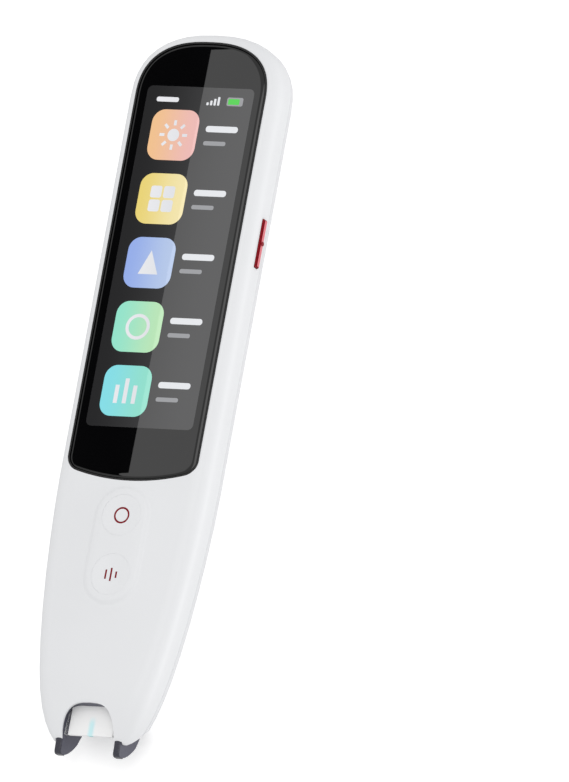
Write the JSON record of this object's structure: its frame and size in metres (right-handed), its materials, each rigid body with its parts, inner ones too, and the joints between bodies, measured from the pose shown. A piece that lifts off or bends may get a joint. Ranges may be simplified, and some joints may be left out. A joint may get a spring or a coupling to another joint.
{
  "type": "handheld translator",
  "caption": "Pen-shaped handheld translator: long touch glass on a white tapering casing, two round keys, red side key, and a press-to-scan arch foot with a clear window at the tip.",
  "frame": {"origin": "on the flat back on which the pen lies, halfway along its length, on its centreline", "axes": "+X along the pen from the scanning tip to the rounded top end, +Y towards the long edge without the red key, +Z out of the screen"},
  "size_m": [0.15, 0.0345, 0.0137],
  "materials": {
    "casing": "satin-gloss white moulding",
    "glass": "black-masked cover glass, polished",
    "screen": "dark screen panel",
    "slate": "fine-grained slate moulding",
    "mark_red": "printed red",
    "key_red": "satin red moulding",
    "window": "clear moulding",
    "teal": "printed teal line",
    "board": "solder-masked board",
    "chip": "moulded package",
    "steel": "bright sheet",
    "foil": "pouch foil",
    "flex": "flexible circuit film",
    "foam": "foam tape",
    "brass": "gilt can",
    "lens": "coated lens",
    "led": "lamp package",
    "ceramic": "ceramic"
  },
  "bodies": {
    "housing": {"front_shell": "casing", "rear_shell": "casing", "display_glass": "glass", "glass_adhesive": "foam", "lcd_panel": "screen", "lcd_tray": "steel", "lcd_flex": "flex", "main_board": "board", "board_screws": "steel", "shield_can": "steel", "processor": "chip", "memory_chip": "chip", "radio_module": "foil", "antenna": "ceramic", "battery": "foil", "battery_pad": "foam", "battery_tab": "flex", "speaker": "chip", "speaker_gasket": "foam", "speaker_mesh": "chip", "microphones": "brass", "usb_port": "steel", "usb_tongue": "chip", "key_switches": "steel", "power_switch": "chip", "tip_switch": "chip", "scan_camera": "chip", "camera_lens": "lens", "camera_bracket": "chip", "camera_flex": "flex", "light_board": "board", "scan_leds": "led", "foot_springs": "steel"},
    "home_key": {"home_key": "casing", "home_ring": "mark_red"},
    "voice_key": {"voice_key": "casing", "voice_mark": "mark_red"},
    "power_key": {"power_key": "key_red"},
    "scan_foot": {"foot_frame": "slate", "scan_window": "window", "aiming_mark": "teal"}
  },
  "joints": [
    {"name": "home_key_press", "type": "slide", "parent": "housing", "child": "home_key", "axis": [0, 0, -1], "range_m": [0, 0.0004], "stiffness_N_per_m": 400},
    {"name": "voice_key_press", "type": "slide", "parent": "housing", "child": "voice_key", "axis": [0, 0, -1], "range_m": [0, 0.0004], "stiffness_N_per_m": 400},
    {"name": "power_key_press", "type": "slide", "parent": "housing", "child": "power_key", "axis": [0, 1, 0], "range_m": [0, 0.0003], "stiffness_N_per_m": 400},
    {"name": "foot_press", "type": "slide", "parent": "housing", "child": "scan_foot", "axis": [1, 0, 0], "range_m": [0, 0.0005], "stiffness_N_per_m": 600, "deforming": ["foot_springs"]}
  ]
}
